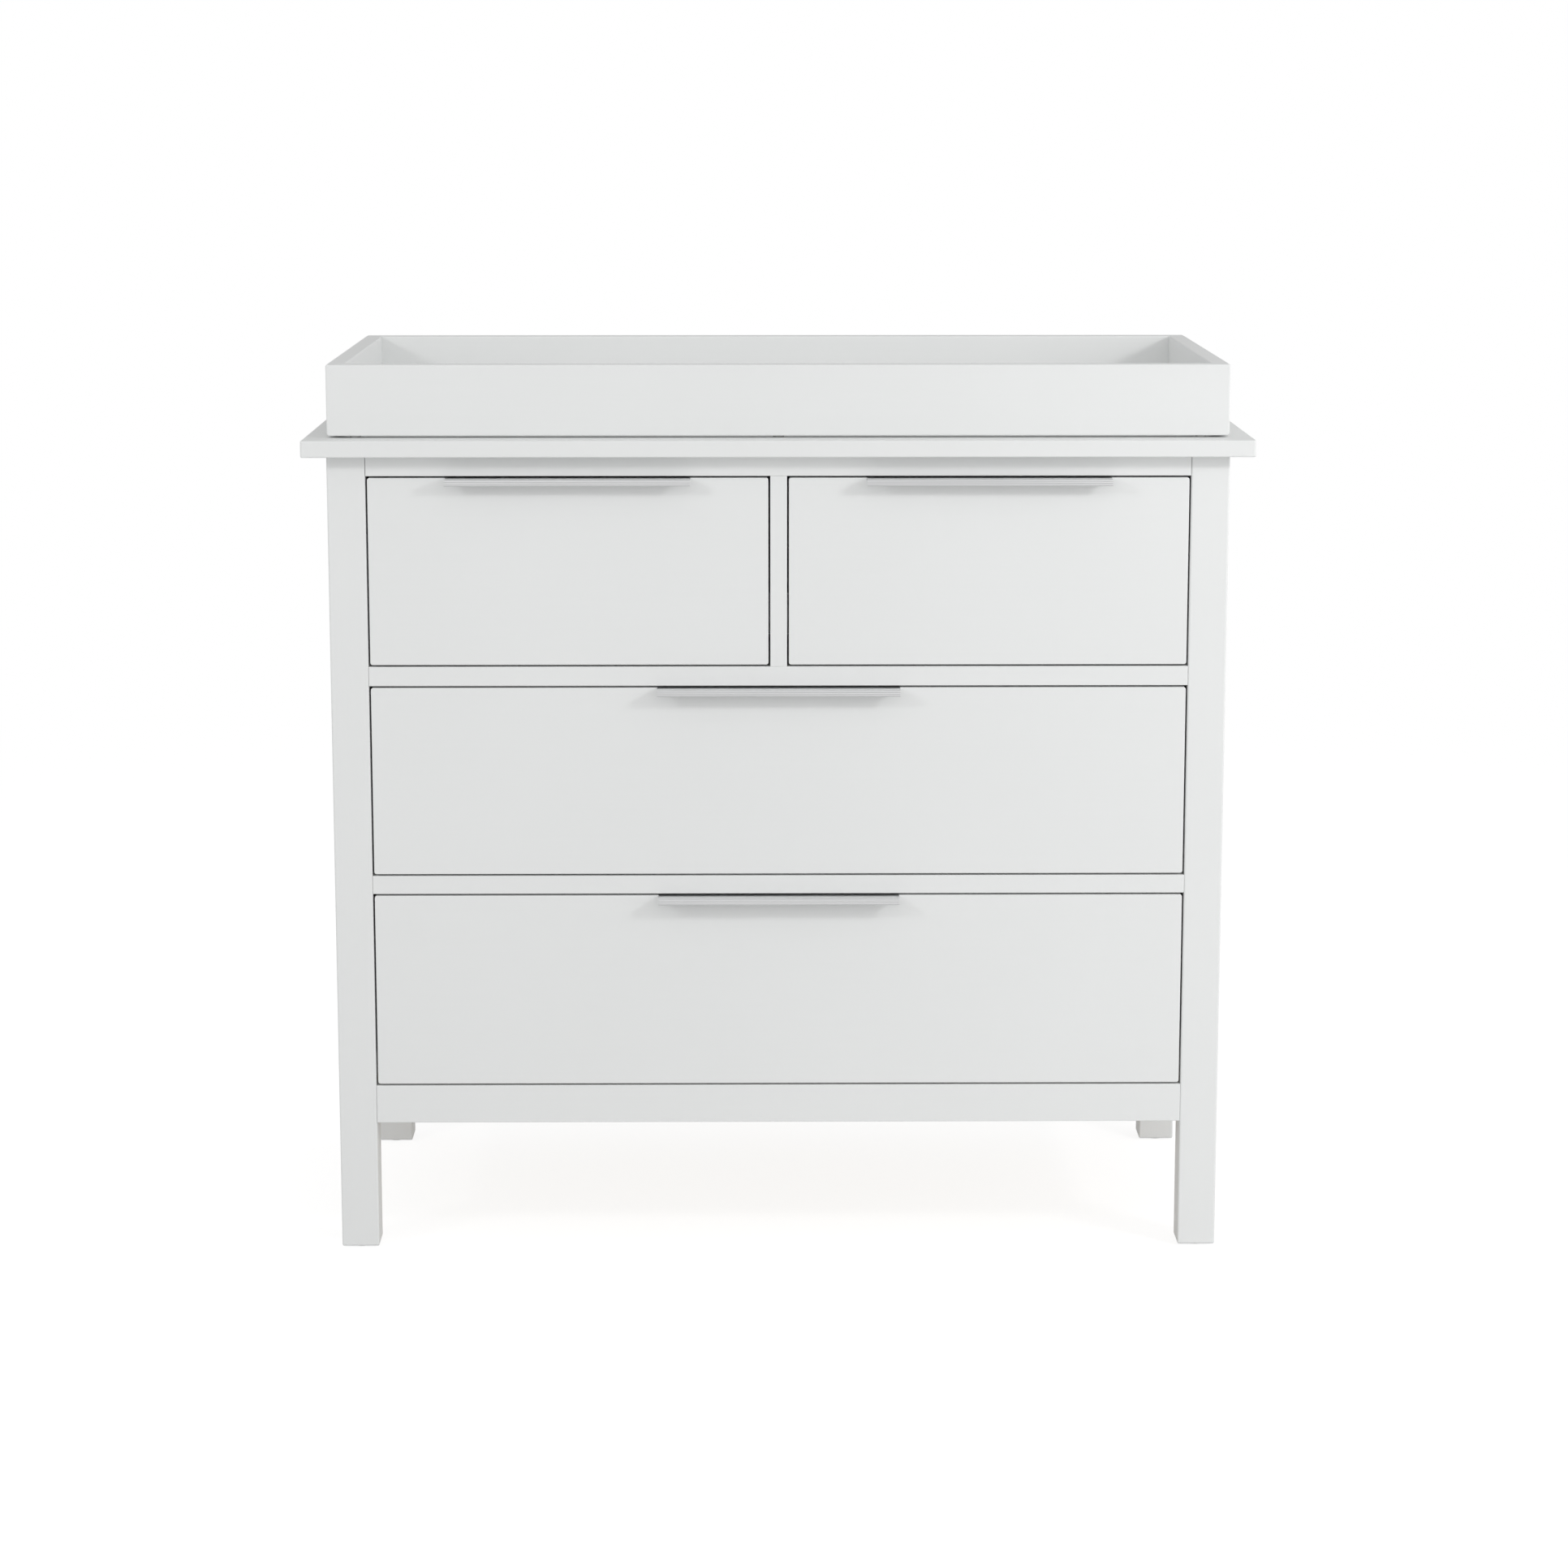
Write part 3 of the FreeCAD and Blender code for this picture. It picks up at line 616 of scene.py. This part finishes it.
def drawerPull(name):
    # A bent strip's outline drawn out along the front. The lip's face carries reeds: its depth
    # follows the absolute sine of its height, so that round ridges meet in sharp valleys.
    low, high = boxOf(name + "_pull")
    thick = pull["thick"] * millimetre
    lipLow = high[2] - pull["lip"] * millimetre
    reedTop = high[2] - pull["reedTop"] * millimetre
    reedLow = lipLow + pull["reedBottom"] * millimetre
    share = np.linspace(0, 1, 7 * pull["reeds"])
    reedDepth = pull["reedDepth"] * millimetre * (1 - np.abs(np.sin(math.pi * pull["reeds"] * share)))
    reeds = list(zip(low[1] + reedDepth, reedTop + (reedLow - reedTop) * share))
    outline = [
        (low[1] + pull["lipSetBack"] * millimetre, lipLow), (low[1] + thick, lipLow),
        (low[1] + thick, high[2] - thick), (high[1] - thick, high[2] - thick),
        (high[1] - thick, low[2]), (high[1], low[2]), (high[1], high[2]), (low[1], high[2]), *reeds,
    ]
    radii = np.array([*pull["radii"], *[0] * len(reeds)]) * millimetre
    return plate(outline, radii, low[0], high[0], bothEnds(pull["ease"]), "x", band=0)


sideBoard = {    # millimetres
    "groove": 5.0,
    "radii": (0.6, 0.6, 0.1, 0.1, 0.1, 0.1, 1.2, 1.2),    # foot, groove and top
    "ease": 0.4,
}


def drawerSide(name, side):
    # a board with a groove near its foot, where the bottom sits
    low, high = boxOf(f"{name}_{side}_side")
    bottomLow, bottomHigh = boxOf(name + "_bottom")
    way = 1 if side == "left" else -1
    outer, inner = (low[0], high[0]) if way > 0 else (high[0], low[0])
    groove = inner - way * sideBoard["groove"] * millimetre
    outline = [
        (outer, low[2]), (inner, low[2]), (inner, bottomLow[2]), (groove, bottomLow[2]),
        (groove, bottomHigh[2]), (inner, bottomHigh[2]), (inner, high[2]), (outer, high[2]),
    ]
    outline, radii = facing(way, outline, sideBoard["radii"])
    return plate(outline, radii, low[1], high[1], bothEnds(sideBoard["ease"]), "y")


slide = {    # millimetres
    "wall": 1.2,
    "gap": 12.7,    # between a drawer's side and the cabinet
    "cabinetTall": 45.0,
    "cabinetReach": 11.2,    # how far each member's flanges stand out
    "middleReach": 8.6,
    "innerReach": 8.2,
    "radii": (1.5, 0.35, 0.35, 0.4, 0.4, 0.35, 0.35, 1.5),    # outer bends at both ends
    "ease": 0.15,
}
drawerScrews = {    # metres, from the slides' front ends or the boards' edges
    "slideToCabinet": (0.035, 0.163, 0.355),
    "slideToDrawer": (0.030, 0.200, 0.350),
    "backInset": 0.006,
    "backRises": (0.090, 0.130),
    "pullInset": 0.030,
    "pullDrop": 0.013,
}


def channel(web, way, level, tall, reach, start, end):
    # one slide member: a rolled steel channel drawn out along its length
    low, high = level - tall / 2, level + tall / 2
    wall = slide["wall"] * millimetre
    outer, inside = web + way * reach * millimetre, web + way * wall
    outline = [
        (web, low), (outer, low), (outer, low + wall), (inside, low + wall),
        (inside, high - wall), (outer, high - wall), (outer, high), (web, high),
    ]
    outline, radii = facing(way, outline, slide["radii"])
    return plate(outline, radii, start, end, bothEnds(slide["ease"]), "y", steps=3, band=0)


cabinetSlides, cabinetSlideScrews = [], []
for name in drawerNames:
    title = plainName(name)
    leftLow, leftHigh = boxOf(name + "_left_side")
    pullLow, pullHigh = boxOf(name + "_pull")
    innerLow, innerHigh = boxOf(name + "_slide_inners")
    middleLow, middleHigh = boxOf(name + "_slide_middles")
    start, end = innerLow[1], innerHigh[1]
    level = (innerLow[2] + innerHigh[2]) / 2
    drawerWalls = ((leftLow[0], -1), (boxOf(name + "_right_side")[1][0], 1))
    gap = slide["gap"] * millimetre
    wall = slide["wall"] * millimetre

    addPiece(title + "Front", [drawerFront(name)], ["paintX"], name, [name + "_front"])
    addPiece(title + "Pull", [drawerPull(name)], ["aluminium"], name, [name + "_pull"])
    addPiece(title + "Sides", [drawerSide(name, "left"), drawerSide(name, "right")], ["birchY", "plyX"],
             name, [name + "_left_side", name + "_right_side"], "z")
    addPiece(title + "Back", [board(name + "_back", "y", 0.8, (0.4, 0.4), (0.05, 0, 0))],
             ["birchX", "plyY"], name, [name + "_back"], "z")
    addPiece(title + "Bottom", [board(name + "_bottom", "z", 0.4, (0.3, 0.3), (0.05, 0, 0.05))],
             ["birchX"], name, [name + "_bottom"])

    tall = innerHigh[2] - innerLow[2]
    inners = [channel(edge, way, level, tall, slide["innerReach"], start, end) for edge, way in drawerWalls]
    addPiece(title + "SlideInners", inners, ["steel"], name, [name + "_slide_inners"])
    tall = middleHigh[2] - middleLow[2]
    middles = [channel(edge, way, level, tall, slide["middleReach"], start, end)
               for edge, way in ((middleLow[0], 1), (middleHigh[0], -1))]
    addPiece(title + "SlideMiddles", middles, ["steel"], name + "_slides",
             [name + "_slide_middles"])
    tall = slide["cabinetTall"] * millimetre
    for edge, way in ((drawerWalls[0][0] - gap, 1), (drawerWalls[1][0] + gap, -1)):
        cabinetSlides.append(channel(edge, way, level, tall, slide["cabinetReach"], start, end))
        spots = [(edge + way * wall, start + deep, level) for deep in drawerScrews["slideToCabinet"]]
        cabinetSlideScrews += turned(flatHead, spots, "x", way)

    screws = []
    for edge, way in drawerWalls:
        spots = [(edge + way * wall, start + deep, level) for deep in drawerScrews["slideToDrawer"]]
        screws += turned(panHead, spots, "x", way)
        backPlace = leftHigh[1] - drawerScrews["backInset"]
        spots = [(edge, backPlace, leftLow[2] + rise) for rise in drawerScrews["backRises"]]
        screws += turned(flatHead, spots, "x", way)
    pullScrewLevel = pullHigh[2] - drawerScrews["pullDrop"]
    spots = [(across, pullHigh[1], pullScrewLevel)
             for across in (pullLow[0] + drawerScrews["pullInset"], pullHigh[0] - drawerScrews["pullInset"])]
    screws += turned(panHead, spots, "y")
    addPiece(title + "Screws", screws, ["steel"], name)

addPiece("cabinetSlides", cabinetSlides, ["steel"], "cabinet", ["cabinet_slides"])
addPiece("cabinetSlideScrews", cabinetSlideScrews, ["steel"], "cabinet")
print("drawers made")


# CAD nodes that are shown as they are
kept = {
    "corner_blocks": "pineX",
    "slide_battens": "pineY",
    "wall_anchors": "steel",
    "rear_top_rail": "paintX",
}
for node, lookName in kept.items():
    materials = frame["nodes"][node].data.materials
    materials.clear()
    materials.append(looks[lookName])
print("CAD nodes kept:", len(kept))


studio = {
    "target": (0.0, 0.0, 0.40),
    "backdropRadius": 30.0,
    "domeShare": 0.98,    # the dome's radius as a share of the floor's half width
    "sky": (0.94, 0.56),    # radiance of the surroundings at the horizon and overhead
    "skyTop": 0.8,    # the height, on a sphere of radius 1, from which the sky is as overhead
    "skyTilt": (0.14, -0.22),    # how much it rises to the right and falls to the back
    "bounce": 0.52,    # how much light the floor sends back up
    "bounceGlow": 0.20,
    "floorGlow": 0.822,    # what the seen floor gives off near the object
    "floorGrey": 0.30,    # how much of the light on it the seen floor adds, which a shadow takes away
    "fade": (1.2, 3.6),    # where the seen floor turns into the plain backdrop
    "lamps": [    # azimuth from the front, elevation, distance, width, height, power
        (-47.0, 27.5, 2.70, 0.36, 0.24, 6.6),
        (50.2, 27.5, 2.70, 0.36, 0.24, 11.4),
        (62.0, 8.0, 2.2, 1.60, 1.80, 7.2),
    ],
}
white, black = (1.0, 1.0, 1.0), (0.0, 0.0, 0.0)


def addStage(name, points, faces, material, seen):
    # a part of the studio that only the camera sees, or that only lights the object
    mesh = bpy.data.meshes.new(name)
    mesh.from_pydata(points, [], faces)
    mesh.materials.append(material)
    part = bpy.data.objects.new(name, mesh)
    bpy.context.scene.collection.objects.link(part)
    part.visible_camera = seen
    for ray in ("diffuse", "glossy", "transmission", "shadow"):
        setattr(part, "visible_" + ray, not seen)


def squareAt(half, level):
    return [(-half, -half, level), (half, -half, level), (half, half, level), (-half, half, level)]


def addFloor():
    # The seen floor is white with a soft shadow and fades into the backdrop; the one that lights
    # the object from below lies a hair under it and is greyer.
    look = Look("paleFloor", {"Roughness": 0.9, "Specular IOR Level": 0.0, "Emission Strength": 1.0})
    away = look.make("ShaderNodeVectorMath", {"operation": "LENGTH"}, {0: look.place}, "Value")
    near, far = studio["fade"]
    faded = look.make("ShaderNodeMapRange", {"interpolation_type": "SMOOTHSTEP"},
                      {"Value": away, "From Min": near, "From Max": far})
    glow = look.ramp(faded, [(0, (studio["floorGlow"],) * 3), (1, white)])
    colour = look.ramp(faded, [(0, (studio["floorGrey"],) * 3), (1, black)])
    half = studio["backdropRadius"]
    addStage("floor", squareAt(half, 0.0), [(0, 1, 2, 3)], look.feed(colour=colour, glow=glow), True)

    bounce = studio["bounce"]
    under = Look("floorBounce", {
        "Base Color": (bounce, bounce, bounce, 1), "Roughness": 0.9, "Specular IOR Level": 0.0,
        "Emission Color": (*white, 1), "Emission Strength": studio["bounceGlow"],
    })
    addStage("floorBounce", squareAt(half, -millimetre), [(0, 1, 2, 3)], under.material, False)


def addBackdrop():
    # the white dome round everything: rings of latitude closed by a pole at the top
    latitude = np.linspace(-0.1, math.pi / 2, 13)[:-1, None]
    longitude = np.linspace(0, 2 * math.pi, 32, endpoint=False)[None]
    rings = studio["backdropRadius"] * studio["domeShare"] * np.stack([
        np.cos(latitude) * np.cos(longitude), np.cos(latitude) * np.sin(longitude),
        np.sin(latitude) + 0 * longitude,
    ], axis=2)
    points, faces = stack(rings, "z")
    dome = Look("backdropWhite", {
        "Base Color": (*black, 1), "Specular IOR Level": 0.0,
        "Emission Color": (*white, 1), "Emission Strength": 1.0,
    })
    addStage("backdrop", points.tolist(), faces[:-2] + faces[-1:], dome.material, True)


def addSky():
    # light from all round, by the height and the tilt of its direction
    world = bpy.data.worlds.new("studio")
    bpy.context.scene.world = world
    world.use_nodes = True
    sky = Nodes(world.node_tree)
    horizon, overhead = studio["sky"]
    direction = sky.make("ShaderNodeTexCoord", output="Generated")
    height = sky.make("ShaderNodeSeparateXYZ", {}, {0: direction}, "Z")
    level = sky.make("ShaderNodeMapRange", {}, {
        "Value": height, "From Max": studio["skyTop"], "To Min": horizon, "To Max": overhead,
    })
    tilt = sky.make("ShaderNodeVectorMath", {"operation": "DOT_PRODUCT"},
                    {0: direction, 1: (*studio["skyTilt"], 0)}, "Value")
    background = sky.tree.nodes["Background"]
    background.inputs["Color"].default_value = (*white, 1)
    sky.link(level * (1 + tilt), background.inputs["Strength"])


def addLamps():
    target = np.array(studio["target"])
    for number, (azimuth, elevation, distance, wide, tall, power) in enumerate(studio["lamps"]):
        turn, up = math.radians(azimuth), math.radians(elevation)
        toLamp = np.array([math.sin(turn) * math.cos(up), -math.cos(turn) * math.cos(up), math.sin(up)])
        light = bpy.data.lights.new(f"softbox{number}", "AREA")
        light.shape = "RECTANGLE"
        light.size, light.size_y = wide, tall
        light.energy = power
        lamp = bpy.data.objects.new(light.name, light)
        lamp.location = target + toLamp * distance
        lamp.rotation_euler = (math.pi / 2 - up, 0, turn)
        bpy.context.scene.collection.objects.link(lamp)


shot = {"lens": 90.39, "sensor": 36.0, "place": (-0.0314, -4.431, 1.2866), "down": 10.327, "turn": -0.507}


def addCamera():
    data = bpy.data.cameras.new("camera")
    data.lens, data.sensor_width = shot["lens"], shot["sensor"]
    camera = bpy.data.objects.new("camera", data)
    camera.location = shot["place"]
    camera.rotation_euler = (math.radians(90 - shot["down"]), 0, math.radians(shot["turn"]))
    bpy.context.scene.collection.objects.link(camera)
    bpy.context.scene.camera = camera


addFloor()
addBackdrop()
addSky()
addLamps()
addCamera()
bpy.context.scene.view_settings.view_transform = "Standard"
print("floor, light and camera made")
